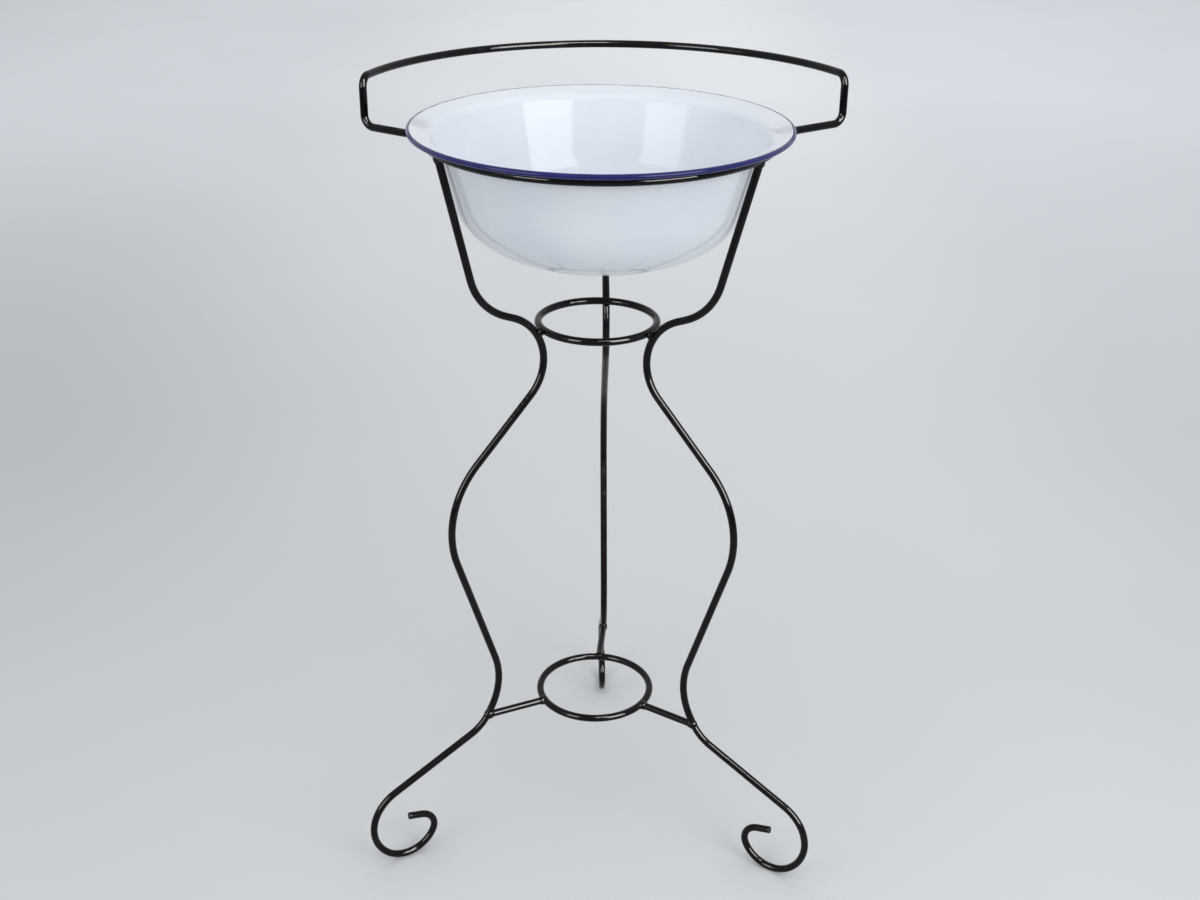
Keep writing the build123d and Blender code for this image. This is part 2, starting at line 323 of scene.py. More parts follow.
@dataclass(frozen=True)
class RoundBar:
    """Round bar along a line, a little uneven from rolling and bending.

    Attributes:
        line: Points of its centre line in millimetres.
        closed: Whether it is a hoop.
        seed: Seed of its unevenness.
        sides: Points round its section.
        dents: Depth of the unevenness, which only takes metal away.
        layers: Share and wavelength of each layer of it.
        edge: Width of the broken edge at a cut end.
    """

    line: np.ndarray
    closed: bool = False
    seed: int = 1
    sides: int = 40
    dents: float = 0.09
    layers: tuple[Two, ...] = ((0.55, 26.0), (0.45, 9.0))
    edge: float = 0.45

    def grid(self) -> Grid:
        """Section carried along the line.

        The point at a station and an angle is the centre line plus the radius times (cos angle
        across + sin angle up). The radius is half the bar less the dents, which are waves in
        space. A cut end steps in over its broken edge and closes on its middle.

        Returns:
            The surface.
        """
        tangents, across, up = carried_frames(self.line, self.closed)
        stations = self.line
        inset = np.zeros(len(stations))
        if not self.closed:
            # Way along the bar and cut off its radius, at each ring from the end's face to the side
            rings = ((0.0, self.edge + 0.15), (0.0, self.edge), (0.12, 0.12), (self.edge, 0.0))
            depth, cut = np.array(rings).T
            lead = self.line[0] + tangents[0] * depth[:, None]
            tail = self.line[-1] - tangents[-1] * depth[::-1, None]
            stations = np.concatenate([lead, stations[1:-1], tail])
            inset = np.concatenate([cut, inset[1:-1], cut[::-1]])
            repeats = np.ones(len(self.line), int)
            repeats[[0, -1]] = len(rings)
            across, up = np.repeat(across, repeats, 0), np.repeat(up, repeats, 0)
        angle = np.linspace(0.0, 2.0 * np.pi, self.sides, endpoint=False)[:, None]
        spread = np.cos(angle) * across[:, None] + np.sin(angle) * up[:, None]
        full = stations[:, None] + BAR / 2.0 * spread
        uneven = layered(full, self.layers, self.seed)
        radius = BAR / 2.0 - inset[:, None] - self.dents * (0.5 + 0.5 * uneven)
        steps = np.linalg.norm(np.diff(stations, axis=0), axis=1)
        if self.closed:
            steps = np.append(steps, steps[0])
        return Grid(
            points=stations[:, None] + radius[..., None] * spread,
            marks=np.concatenate([[0.0], np.cumsum(steps)]) * MM,
            poles=() if self.closed else (self.line[0], self.line[-1]),
        )


def distance_to_line(points: np.ndarray, line: np.ndarray) -> np.ndarray:
    """Distance from each point to a line of short runs, as the least distance to any run.

    Args:
        points: Places, in an array of any shape with three numbers each.
        line: Points of the line.

    Returns:
        One number for each place.
    """
    start, run = line[:-1], np.diff(line, axis=0)
    offset = points[..., None, :] - start
    share = np.clip((offset * run).sum(-1) / (run * run).sum(-1), 0.0, 1.0)
    return np.linalg.norm(offset - share[..., None] * run, axis=-1).min(axis=-1)


def smooth_least(first: np.ndarray, second: np.ndarray, width: float) -> np.ndarray:
    """Lesser of two fields, rounded off over a width by a quarter of the squared overlap."""
    overlap = np.maximum(width - np.abs(first - second), 0.0) / width
    return np.minimum(first, second) - overlap**2 * width / 4.0


@dataclass(frozen=True)
class WeldBead:
    """Run of weld metal where bars meet.

    Attributes:
        heart: Its middle in millimetres.
        lines: Centre lines of the bars that it joins.
        seed: Seed of its lumps.
        ball: Radius of the lump of metal.
        fillet: How far the metal fills the crease between the bars.
        reach: Distance from the heart at which it has sunk into the bars.
        lumps: Height of its lumps.
        layers: Share and wavelength of each layer of them.
        skirt: How softly the ball runs out onto the bars.
        cover: Depth by which the whole surface lies under the metal's.
        fall: How steeply it sinks at its reach.
        rows: Rows of its surface from pole to pole.
        columns: Points in a row.
        walk: Shortest walk out from the heart, longest as a share of the reach, number of steps.
        halvings: How often the step with the crossing is halved.
    """

    heart: np.ndarray
    lines: tuple[np.ndarray, ...]
    seed: int
    ball: float = 4.9
    fillet: float = 4.2
    reach: float = 11.0
    lumps: float = 0.45
    layers: tuple[Two, ...] = ((1.0, 4.2), (0.6, 1.9))
    skirt: float = 1.6
    cover: float = 0.12
    fall: float = 3.6
    rows: int = 44
    columns: int = 80
    walk: tuple[float, float, int] = (0.4, 1.25, 30)
    halvings: int = 9

    def field_at(self, points: np.ndarray) -> np.ndarray:
        """Height over the weld's surface: negative inside.

        It is the smooth least of the distances to the bars and to a ball round the heart, raised
        with the fourth power of the distance from the heart, less the lumps.

        Args:
            points: Places in millimetres.

        Returns:
            One number for each place.
        """
        depth = None
        for line in self.lines:
            near = distance_to_line(points, line) - BAR / 2.0
            depth = near if depth is None else smooth_least(depth, near, self.fillet)
        away = np.linalg.norm(points - self.heart, axis=-1)
        depth = smooth_least(depth, away - self.ball, self.skirt)
        ripple = layered(points, self.layers, self.seed)
        return depth + self.cover + self.fall * (away / self.reach) ** 4 - self.lumps * ripple

    def grid(self) -> Grid:
        """Surface round the heart whose distance out is where the field first turns positive.

        The field is walked outwards along each direction and the crossing is halved down.

        Returns:
            The surface.
        """
        tilt = np.linspace(0.0, np.pi, self.rows + 2)[1:-1]
        turn = np.linspace(0.0, 2.0 * np.pi, self.columns, endpoint=False)
        down, around = tilt[:, None], turn[None, :]
        level = np.sin(down)
        rise = np.cos(down) + 0.0 * around
        ways = np.stack([level * np.cos(around), level * np.sin(around), rise], axis=-1)
        every = np.concatenate([ways.reshape(-1, 3), [[0.0, 0.0, 1.0], [0.0, 0.0, -1.0]]])
        nearest, farthest, steps = self.walk
        walk = np.linspace(nearest, self.reach * farthest, steps)
        first_out = np.argmax(self.field_at(self.heart + walk[:, None, None] * every) > 0.0, axis=0)
        high, low = walk[first_out], walk[np.maximum(first_out - 1, 0)]
        for _ in range(self.halvings):
            middle = (low + high) / 2.0
            outside = self.field_at(self.heart + middle[:, None] * every) > 0.0
            high, low = np.where(outside, middle, high), np.where(outside, low, middle)
        surface = self.heart + high[:, None] * every
        body = surface[:-2].reshape(self.rows, self.columns, 3)
        return Grid(body[:, ::-1], tilt * self.ball * MM, (surface[-2], surface[-1]))


def near_part(line: np.ndarray, place: np.ndarray, reach: float = 20.0, count: int = 9) -> np.ndarray:
    """A few points, evenly spread, of the part of a line that lies within a reach of a place.

    A line that ends on its own start is first turned so that its ends lie opposite the place.

    Args:
        line: Points of the line.
        place: The place.
        reach: The reach.
        count: Number of points.

    Returns:
        The points.
    """
    away = np.linalg.norm(line - place, axis=1)
    if np.allclose(line[0], line[-1]):
        shift = len(line) // 2 - int(np.argmin(away))
        line, away = np.roll(line[:-1], shift, axis=0), np.roll(away[:-1], shift)
    kept = np.flatnonzero(away < reach)
    return line[np.unique(np.linspace(kept[0], kept[-1], count).round().astype(int))]


# --- finishes


class Ramp(Enum):
    """Ways from one end of a range to the other."""

    SMOOTH = "SMOOTHSTEP"
    EVEN = "LINEAR"


@dataclass(frozen=True)
class Noise:
    """Soft noise from 0 to 1.

    Attributes:
        scale: Features to the metre.
        detail: Number of finer layers.
        rough: Strength of the finer layers.
        low: Value at which it starts to count.
        high: Value at which it counts in full.
        size: Height of its relief in metres, or how far it moves a line.
    """

    scale: float
    detail: float = 2.0
    rough: float = 0.5
    low: float = 0.0
    high: float = 1.0
    size: float = 0.0


@dataclass(frozen=True)
class Specks:
    """Round specks on a few of many scattered points.

    Attributes:
        scale: Points to the metre.
        low: Draw from 0 to 1 at which a point starts to have a speck.
        high: Draw at which it has one in full.
        rim: Radius of a speck, as a share of the points' spacing.
        core: Radius within which it is full.
    """

    scale: float
    low: float
    high: float
    rim: float
    core: float


class Nodes:
    """Small helper that adds nodes to a material or a world and links them."""

    def __init__(self, owner: bpy.types.Material | bpy.types.World, place: str = "Object") -> None:
        """Starts an empty tree.

        Args:
            owner: Material or world that gets the nodes.
            place: Coordinates that its patterns use.
        """
        owner.use_nodes = True
        self.owner = owner
        self.tree = owner.node_tree
        self.tree.nodes.clear()
        self.place = self.add("ShaderNodeTexCoord").outputs[place]

    def add(
        self, kind: str, values: dict[str | int, object] | None = None, **settings: object
    ) -> bpy.types.Node:
        """Adds a node.

        Args:
            kind: Blender's name of the node type.
            values: Sockets by name or number, each with a value or with the socket that feeds it.
            **settings: Properties of the node.

        Returns:
            The node.
        """
        node = self.tree.nodes.new(kind)
        for key, value in settings.items():
            setattr(node, key, value)
        for key, value in (values or {}).items():
            if isinstance(value, Socket):
                self.tree.links.new(value, node.inputs[key])
            else:
                node.inputs[key].default_value = value
        return node

    def noise(self, noise: Noise) -> Socket:
        """Whole range of a noise."""
        values = {"Scale": noise.scale, "Detail": noise.detail, "Roughness": noise.rough}
        return self.add("ShaderNodeTexNoise", {"Vector": self.place, **values}).outputs[0]

    def cover(self, noise: Noise, start: float = 0.0, end: float = 1.0) -> Socket:
        """Part of a noise's range that counts, brought to the range from start to end."""
        return self.between(self.noise(noise), noise.low, noise.high, start, end)

    def relief(self, noise: Noise, under: Socket | None = None) -> Socket:
        """Normal from a noise as a height, on top of another bump."""
        return self.bump(self.noise(noise), noise.size, under)

    def specks(self, specks: Specks, ragged: Noise | None = None) -> Socket:
        """Where there are specks.

        Args:
            specks: The specks.
            ragged: Noise that makes their rims ragged, if they are.

        Returns:
            1 in a speck and 0 outside.
        """
        cells = self.add("ShaderNodeTexVoronoi", {"Vector": self.place, "Scale": specks.scale})
        draw = self.add("ShaderNodeSeparateColor", {"Color": cells.outputs["Color"]}).outputs[0]
        away = cells.outputs["Distance"]
        if ragged:
            away = self.maths("ADD", away, self.product(self.noise(ragged), ragged.size))
        inside = self.between(away, specks.rim, specks.core)
        return self.product(inside, self.between(draw, specks.low, specks.high))

    def maths(self, kind: str, first: Socket | float, second: Socket | float) -> Socket:
        """One step of that kind on two numbers."""
        return self.add("ShaderNodeMath", {0: first, 1: second}, operation=kind).outputs[0]

    def product(self, first: Socket | float, second: Socket | float) -> Socket:
        """Product of two numbers."""
        return self.maths("MULTIPLY", first, second)

    def part(self, vector: Socket, axis: str) -> Socket:
        """One of the three numbers of a place."""
        return self.add("ShaderNodeSeparateXYZ", {"Vector": vector}).outputs[axis]

    def between(
        self,
        value: Socket,
        low: float,
        high: float,
        start: Socket | float = 0.0,
        end: float = 1.0,
        ramp: Ramp = Ramp.SMOOTH,
    ) -> Socket:
        """A value's range from low to high brought to the range from start to end, and kept in it."""
        values = {"Value": value, "From Min": low, "From Max": high, "To Min": start, "To Max": end}
        return self.add("ShaderNodeMapRange", values, interpolation_type=ramp.value).outputs[0]

    def blend(self, share: Socket, first: Socket | Three, second: Socket | Three) -> Socket:
        """Colour between two, by a share."""
        ends = [(*colour, 1.0) if isinstance(colour, tuple) else colour for colour in (first, second)]
        return self.add("ShaderNodeMix", {0: share, 6: ends[0], 7: ends[1]}, data_type="RGBA").outputs[2]

    def bump(self, height: Socket, distance: float, under: Socket | None = None) -> Socket:
        """Normal from a height, on top of another bump.

        Args:
            height: The height.
            distance: Its unit in metres.
            under: Normal of the other bump.

        Returns:
            The normal.
        """
        values = {"Height": height, "Distance": distance, "Strength": 1.0}
        if under is not None:
            values["Normal"] = under
        return self.add("ShaderNodeBump", values).outputs[0]

    def surface(
        self, colour: Socket, rough: Socket | float, normal: Socket, shine: float
    ) -> bpy.types.Material:
        """Ends a material on a coat.

        Args:
            colour: Its colour.
            rough: Its roughness.
            normal: Its normal.
            shine: Its specular level.

        Returns:
            The material.
        """
        values = {"Base Color": colour, "Roughness": rough, "Normal": normal, "Specular IOR Level": shine}
        coat = self.add("ShaderNodeBsdfPrincipled", values).outputs[0]
        self.add("ShaderNodeOutputMaterial", {"Surface": coat})
        return self.owner


@dataclass(frozen=True)
class BlackPaint:
    """Black gloss paint brushed on bent iron.

    It has the soft orange peel of brushed paint over coarser lumps, smudges that dull the gloss,
    and a few small chips.

    Attributes:
        name: Name of the material.
        black: Colour of the paint.
        worn: Colour of the paint under a smudge.
        chip: Colour of a chip.
        gloss: Roughness of the clean paint.
        dull: Roughness of a smudge.
        shine: Specular level of the paint, where 0.5 is that of glass.
        smudges: Noise of the smudges.
        peel: Relief of the orange peel.
        lumps: Relief of coarser lumps.
        chips: The chips.
        ragged: Noise of their rims.
        chip_depth: Depth of a chip in metres.
    """

    name: str = "black_gloss_paint"
    black: Three = (0.0010, 0.0010, 0.0018)
    worn: Three = (0.004, 0.004, 0.006)
    chip: Three = (0.22, 0.22, 0.24)
    gloss: float = 0.05
    dull: float = 0.15
    shine: float = 0.18
    smudges: Noise = Noise(38.0, 4.0, 0.6, low=0.42, high=0.68)
    peel: Noise = Noise(420.0, rough=0.55, size=0.00004)
    lumps: Noise = Noise(95.0, detail=1.0, size=0.00012)
    chips: Specks = Specks(70.0, 0.93, 0.96, 0.16, 0.12)
    ragged: Noise = Noise(900.0, size=0.10)
    chip_depth: float = 0.00008

    def build(self) -> bpy.types.Material:
        """Makes the material.

        Returns:
            The material.
        """
        n = Nodes(bpy.data.materials.new(self.name))
        smudge = n.cover(self.smudges)
        chipped = n.specks(self.chips, self.ragged)
        colour = n.blend(chipped, n.blend(smudge, self.black, self.worn), self.chip)
        rough = n.between(n.maths("MAXIMUM", smudge, chipped), 0.0, 1.0, self.gloss, self.dull)
        coat = n.relief(self.peel, n.relief(self.lumps))
        edge = n.bump(n.maths("SUBTRACT", 1.0, chipped), self.chip_depth, coat)
        return n.surface(colour, rough, edge, self.shine)


@dataclass(frozen=True)
class Enamel:
    """White vitreous enamel with a navy edge.

    The second texture coordinate is the way over the edge from the crest of the curl, in metres,
    and the navy starts there with an uneven brush line.

    Attributes:
        name: Name of the material.
        white: Colour of the ground coat.
        cool: Colour where the coat is thin.
        navy: Colour of the edge.
        thin_navy: Colour where the navy coat is thin.
        speck: Colour of a speck.
        navy_start: Where the navy starts to show, in metres from the crest of the curl.
        navy_full: Where it covers in full.
        navy_last: Where it covers in full for the last time, round the curl.
        navy_end: Where it ends.
        brush: Noise by which the brush line wanders.
        thin: Noise of the thin places of the ground coat.
        navy_thin: Noise of those of the navy coat.
        specks: The specks.
        gloss: Roughness where the coat is glossiest.
        dull: Roughness where it is dullest.
        worn: Noise of the dull places.
        shine: Specular level of the coat, where 0.5 is that of glass.
        waviness: Relief of the coat's slow waves.
        grain: Relief of its fine grain.
        coat: Thickness of the navy coat in metres.
    """

    name: str = "white_enamel_with_navy_edge"
    white: Three = (0.80, 0.84, 0.895)
    cool: Three = (0.76, 0.80, 0.865)
    navy: Three = (0.002, 0.003, 0.11)
    thin_navy: Three = (0.008, 0.012, 0.17)
    speck: Three = (0.12, 0.12, 0.14)
    navy_start: float = -0.0011
    navy_full: float = -0.0006
    navy_last: float = 0.0165
    navy_end: float = 0.0169
    brush: Noise = Noise(60.0, 3.0, 0.6, size=0.0016)
    thin: Noise = Noise(9.0, 3.0, 0.55, low=0.35, high=0.70)
    navy_thin: Noise = Noise(45.0, 3.0, 0.6, low=0.45, high=0.75)
    specks: Specks = Specks(55.0, 0.965, 0.98, 0.035, 0.02)
    gloss: float = 0.07
    dull: float = 0.14
    worn: Noise = Noise(30.0, 4.0, 0.6, low=0.35, high=0.75)
    shine: float = 0.5
    waviness: Noise = Noise(14.0, detail=1.0, size=0.0005)
    grain: Noise = Noise(160.0, size=0.00002)
    coat: float = 0.00006

    def build(self) -> bpy.types.Material:
        """Makes the material.

        Returns:
            The material.
        """
        n = Nodes(bpy.data.materials.new(self.name))
        way = n.part(n.add("ShaderNodeUVMap", uv_map="surface").outputs[0], "Y")
        wander = n.product(n.maths("SUBTRACT", n.noise(self.brush), 0.5), self.brush.size)
        start = n.between(n.maths("ADD", way, wander), self.navy_start, self.navy_full)
        edge = n.product(start, n.between(way, self.navy_end, self.navy_last))
        ground = n.blend(n.cover(self.thin), self.white, self.cool)
        edge_colour = n.blend(n.cover(self.navy_thin), self.navy, self.thin_navy)
        colour = n.blend(n.specks(self.specks), n.blend(edge, ground, edge_colour), self.speck)
        rough = n.cover(self.worn, self.gloss, self.dull)
        step = n.bump(edge, self.coat, n.relief(self.grain, n.relief(self.waviness)))
        return n.surface(colour, rough, step, self.shine)


@dataclass(frozen=True)
class PaintedLightPatch:
    """Soft oval patch of the floor with painted light: paler than the plain colour where its share is
    over one, and darker, as painted shade, where it is under one.

    Attributes:
        place: Its middle in metres.
        turn: Turn of its long axis in radians.
        size: Half its length and width in metres.
        share: Share of the plain colour that is left in its middle: over one for a painted pool of light,
            under one for painted shade.
    """

    place: Two
    turn: float
    size: Two
    share: float


@dataclass(frozen=True)
class PaleFloor:
    """Matt pale studio floor with painted light: paler far off for the dimmer light there, uneven across,
    and with soft patches of painted light and shade behind the stand.

    Attributes:
        name: Name of the material.
        colours_with_painted_light: Place from left to right in metres, and colour there: the floor's own
            colour with painted light, darker at the sides and palest just right of the middle.
        left: Where the range of those colours starts, in metres.
        right: Where it ends.
        near: Distance behind the stand at which the floor starts to get paler, in metres.
        far: Distance at which it is palest.
        far_painted_light_gain: How much paler it is there, as painted light that makes up for the dimmer
            light far off.
        front: Distance before the stand at which the floor starts to get darker, in metres.
        front_end: Distance at which it is darkest.
        front_share: Share of the plain colour that is left there.
        painted_light_patches: Soft patches of painted shade, and one of painted light.
        mottle: Noise of a faint mottle.
        faint: Least and greatest share of the colour that it leaves.
        rough: Roughness.
        grain: Relief of the paper's grain.
        shine: Specular level.
    """

    name: str = "pale_floor"
    # The floor's own colour with painted light: darker at the sides, palest just right of the middle.
    colours_with_painted_light: tuple[tuple[float, Three], ...] = (
        (-1.2, (0.600, 0.616, 0.642)),
        (-0.3, (0.646, 0.662, 0.675)),
        (0.5, (0.656, 0.676, 0.690)),
        (1.2, (0.588, 0.612, 0.638)),
    )
    left: float = -1.5
    right: float = 1.5
    near: float = 0.4
    far: float = 4.0
    # Painted light: how much paler the far floor is, to make up for the dimmer light there.
    far_painted_light_gain: float = 1.33
    front: float = 0.6
    front_end: float = 2.4
    front_share: float = 0.42
    # A soft painted shadow behind the stand on the left, a painted pool of light far behind on the right,
    # and painted shade far off on the left.
    painted_light_patches: tuple[PaintedLightPatch, ...] = (
        PaintedLightPatch((-1.15, 1.3), 1.89, (2.3, 1.0), 0.86),
        PaintedLightPatch((1.0, 5.0), 1.57, (5.0, 2.6), 1.12),
        PaintedLightPatch((-4.0, 5.5), 1.57, (4.5, 2.8), 0.84),
    )
    mottle: Noise = Noise(1.3, low=0.2, high=0.8)
    faint: Two = (0.985, 1.015)
    rough: float = 0.85
    grain: Noise = Noise(240.0, size=0.00005)
    shine: float = 0.15

    def gain(self, n: Nodes) -> Socket:
        """How much the plain colour is raised or lowered at a place.

        Args:
            n: Nodes of the floor's material.

        Returns:
            The factor: painted light that grows with how far off the place is, times the darker floor in
                front, times the patches of painted light and shade, times a faint mottle.
        """
        behind = n.part(n.place, "Y")
        # Painted light: the floor gets paler far off, to make up for the dimmer light there.
        total = n.between(behind, self.near, self.far, 1.0, self.far_painted_light_gain, ramp=Ramp.EVEN)
        before = n.between(behind, -self.front_end, -self.front, self.front_share, 1.0)
        total = n.product(total, before)
        # Painted light and shade: each soft patch makes the floor paler or darker in its middle.
        for painted_patch in self.painted_light_patches:
            values = {
                "Vector": n.place,
                "Location": (*painted_patch.place, 0.0),
                "Rotation": (0.0, 0.0, painted_patch.turn),
                "Scale": (*painted_patch.size, 1.0),
            }
            placed = n.add("ShaderNodeMapping", values, vector_type="TEXTURE").outputs[0]
            away = n.add("ShaderNodeVectorMath", {0: placed}, operation="LENGTH").outputs["Value"]
            total = n.product(total, n.between(away, 0.0, 1.0, painted_patch.share, 1.0))
        return n.product(total, n.cover(self.mottle, *self.faint))

    def build(self) -> bpy.types.Material:
        """Makes the material.

        Returns:
            The material.
        """
        n = Nodes(bpy.data.materials.new(self.name))
        # Colour across the floor: its own colour with painted light, darker at the sides.
        reach = n.between(n.part(n.place, "X"), self.left, self.right, ramp=Ramp.EVEN)
        ramp = n.add("ShaderNodeValToRGB", {"Fac": reach})
        ramp.color_ramp.interpolation = "EASE"
        while len(ramp.color_ramp.elements) < len(self.colours_with_painted_light):
            ramp.color_ramp.elements.new(0.5)
        for element, (place, colour) in zip(ramp.color_ramp.elements, self.colours_with_painted_light):
            element.position = (place - self.left) / (self.right - self.left)
            element.color = (*colour, 1.0)
        values = {0: ramp.outputs[0], "Scale": self.gain(n)}
        shade = n.add("ShaderNodeVectorMath", values, operation="SCALE").outputs[0]
        return n.surface(shade, self.rough, n.relief(self.grain), self.shine)


def put(name: str, data: bpy.types.ID) -> bpy.types.Object:
    """Puts a new object into the scene.

    Args:
        name: Its name.
        data: Its mesh, lamp or camera.

    Returns:
        The object.
    """
    made = bpy.data.objects.new(name, data)
    bpy.context.scene.collection.objects.link(made)
    return made


@dataclass
class Workshop:
    """Makes finished pieces from grids, and keeps the finishes.

    Attributes:
        paint: Black paint for the stand.
        enamel: Enamel for the basin.
    """

    paint: bpy.types.Material
    enamel: bpy.types.Material

    def piece(self, name: str, grid: Grid, body: Body, node: str) -> None:
        """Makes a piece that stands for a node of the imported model.

        Args:
            name: Name of the piece.
            grid: Its surface.
            body: Body that it rides on.
            node: Node that it stands for.
        """
        made = put(name, grid.mesh(name))
        made.data.materials.append(self.paint if body is Body.STAND else self.enamel)
        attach(made, body.value)
        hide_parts(node)
        LOG.info("%s: %d faces", name, len(made.data.polygons))

    def bar(self, node: str, line: np.ndarray, seed: int, closed: bool = False) -> None:
        """Makes the piece that stands for a node with a bar along a line."""
        self.piece(node + "_bar", RoundBar(line, closed, seed).grid(), Body.STAND, node)


# --- the stand


@dataclass(frozen=True)
class Hoop:
    """Ring of round bar that lies level.

    Attributes:
        node: Node that it stands for.
        radius: Radius of its centre line.
        height: Height of its centre line.
        sideways: X of its axis.
        seed: Seed of its unevenness.
        step: Distance between stations.
    """

    node: str
    radius: float
    height: float
    sideways: float = 0.0
    seed: int = 1
    step: float = 2.0

    def line(self) -> np.ndarray:
        """Evenly spaced points round the hoop.

        Returns:
            The points, without the last that would repeat the first.
        """
        count = int(np.ceil(2.0 * np.pi * self.radius / self.step))
        angle = np.linspace(0.0, 2.0 * np.pi, count, endpoint=False)
        across, along = self.sideways + self.radius * np.cos(angle), self.radius * np.sin(angle)
        return np.stack([across, along, np.full(count, self.height)], axis=1)

    def build(self, workshop: Workshop) -> None:
        """Makes the hoop's piece."""
        workshop.bar(self.node, self.line(), self.seed, closed=True)


@dataclass(frozen=True)
class Leg:
    """Leg bent from one bar in a plane that points outwards, with its spoke.

    It is bent round pegs at its elbow, neck, bulge, ankle and instep, and at the shoulder, toe and
    tip of its scroll foot. A place in the plane is a distance out and a height.

    Attributes:
        side: Word that ends the names of its nodes.
        azimuth: Direction of its plane.
        beside: How far clockwise of the lower rings' axis the plane passes at the waist.
        lean: How far the plane leans round.
        seed: Seed of its unevenness.
        elbow: Place of the elbow's peg.
        elbow_bend: Radius round it.
        neck_bend: Radius round the neck's peg, which lies outside the waist ring.
        neck_dip: How far below level that peg is seen from the waist ring's bar.
        root_gap: Gap that the weld closes between the leg and the waist ring.
        bulge: Place of the bulge's peg.
        bulge_bend: Radius round it.
        ankle: Place of the ankle's peg.
        ankle_bend: Radius round it.
        instep: Place of the instep's peg.
        instep_bend: Radius round it.
        toe_out: Distance out of the toe's peg.
        shoulder_bend: Radius of the scroll where it starts.
        toe_bend: Radius where it touches the floor.
        tip_bend: Radius where it turns up and back.
        toe_start: Direction from the toe's peg in which the toe's bend starts.
        toe_turn: How far the bar turns round the toe.
        tip_turn: How far it turns at the tip.
        tip_straight: Straight length at its end.
        step: Largest distance between stations.
    """

    side: str
    azimuth: float
    beside: float
    lean: float
    seed: int
    elbow: Two = (80.3, 692.9)
    elbow_bend: float = 63.6
    neck_bend: float = 54.7
    neck_dip: float = 31.0
    root_gap: float = 0.3
    bulge: Two = (58.5, 397.5)
    bulge_bend: float = 112.3
    ankle: Two = (204.3, 206.8)
    ankle_bend: float = 85.3
    instep: Two = (177.8, 184.3)
    instep_bend: float = 51.1
    toe_out: float = 238.6
    shoulder_bend: float = 48.5
    toe_bend: float = 35.2
    tip_bend: float = 18.7
    toe_start: float = -45.7
    toe_turn: float = 110.2
    tip_turn: float = 101.5
    tip_straight: float = 16.0
    step: float = 1.6

    def top_seat(self) -> np.ndarray:
        """Where the leg's plane meets the top ring's bar, measured from the lower rings' axis."""
        shift = LOWER_SIDEWAYS * np.cos(np.radians(self.azimuth))
        return np.array([TOP_RING_RADIUS - shift, TOP_RING_HEIGHT])

    def waist_seat(self) -> np.ndarray:
        """Where the leg's plane cuts the waist ring's bar."""
        return np.array([np.sqrt(WAIST_RING_RADIUS**2 - self.beside**2), WAIST_RING_HEIGHT])

    def top_heading(self) -> float:
        """Heading of the leg where it leaves the top ring, in radians."""
        bend = Turn.RIGHT.value * self.elbow_bend
        return heading_between(self.top_seat(), 0.0, self.elbow, bend)

    def placed(self, flat: np.ndarray) -> np.ndarray:
        """Points of the leg's plane in their place.

        The plane leans about the waist ring's height, is moved beside the axis, turned to its
        azimuth and moved to the lower rings' axis.

        Args:
            flat: Points with their distance out and their height.

        Returns:
            The points in space.
        """
        lean, turn = np.radians(-self.lean), np.radians(self.azimuth)
        out = flat[..., 0]
        rise = flat[..., 1] - WAIST_RING_HEIGHT
        left = -rise * np.sin(lean) - self.beside
        height = WAIST_RING_HEIGHT + rise * np.cos(lean)
        across = LOWER_SIDEWAYS + out * np.cos(turn) - left * np.sin(turn)
        return np.stack([across, out * np.sin(turn) + left * np.cos(turn), height], axis=-1)

    def line(self) -> np.ndarray:
        """Centre line from the side of the top ring down to the tip of the scroll.

        Returns:
            Its points.
        """
        right, left = Turn.RIGHT.value, Turn.LEFT.value
        toe = np.array([self.toe_out, self.toe_bend + BAR / 2.0])
        shoulder = polar(toe, self.toe_bend - self.shoulder_bend, self.toe_start)
        neck = polar(self.waist_seat(), self.neck_bend + BAR + self.root_gap, -self.neck_dip)
        pegs = [
            (self.elbow, right * self.elbow_bend),
            (neck, left * self.neck_bend),
            (self.bulge, right * self.bulge_bend),
            (self.ankle, left * self.ankle_bend),
            (self.instep, left * self.instep_bend),
            (shoulder, right * self.shoulder_bend),
        ]
        start = self.top_seat() + (BAR / 2.0 - SINK) * ahead(self.top_heading())
        runs, heading = bent_line(start, pegs, self.step)
        shoulder_turn = np.radians(self.toe_start - 90.0) - heading
        turns = (shoulder_turn, -np.radians(self.toe_turn), -np.radians(self.tip_turn))
        for bend, turn in zip((self.shoulder_bend, self.toe_bend, self.tip_bend), turns):
            peg = beside_peg(runs[-1][-1], bend, heading)
            runs.append(round_peg(peg, right * bend, heading, turn, self.step))
            heading += turn
        tip = runs[-1][-1] + self.tip_straight * ahead(heading)
        runs.append(straight(runs[-1][-1], tip, self.step))
        return self.placed(joined(runs))

    def spoke_ends(self) -> tuple[np.ndarray, np.ndarray]:
        """Ends of the spoke's line, on the lower ring's line and on the leg's line.

        Returns:
            The inner and the outer end.
        """
        drop = self.ankle[1] - LOWER_RING_HEIGHT
        out = self.ankle[0] - np.sqrt(self.ankle_bend**2 - drop**2)
        axis = np.array([LOWER_SIDEWAYS, 0.0, LOWER_RING_HEIGHT])
        end = self.placed(np.array([out, LOWER_RING_HEIGHT]))
        end[2] = LOWER_RING_HEIGHT
        return axis + LOWER_RING_RADIUS * unit(end - axis), end

